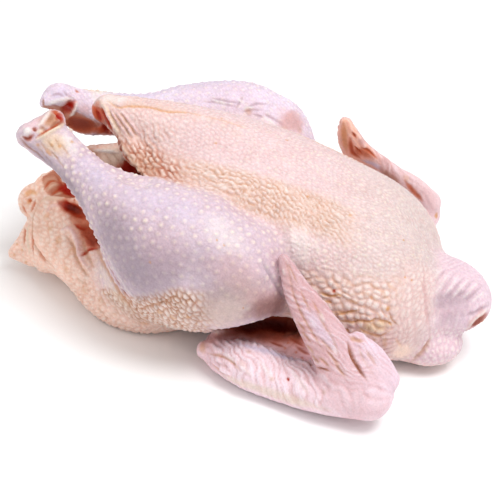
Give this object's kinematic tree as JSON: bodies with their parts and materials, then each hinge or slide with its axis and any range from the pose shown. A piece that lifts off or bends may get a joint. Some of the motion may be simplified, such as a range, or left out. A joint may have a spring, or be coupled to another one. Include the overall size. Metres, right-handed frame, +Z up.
{
  "type": "whole raw chicken",
  "caption": "Whole raw plucked chicken lying on its back, legs drawn up towards the tail and wings folded at the sides, with an open body cavity.",
  "frame": {"origin": "centre of the footprint box, on the surface the bird lies on", "axes": "+X from tail to neck, +Y to the bird's right side, +Z up through the breast"},
  "size_m": [0.262, 0.2072, 0.1068],
  "materials": {
    "skin": "moist satin raw poultry skin, pale pink to peach"
  },
  "bodies": {
    "root": {"chicken": "skin"}
  },
  "joints": []
}
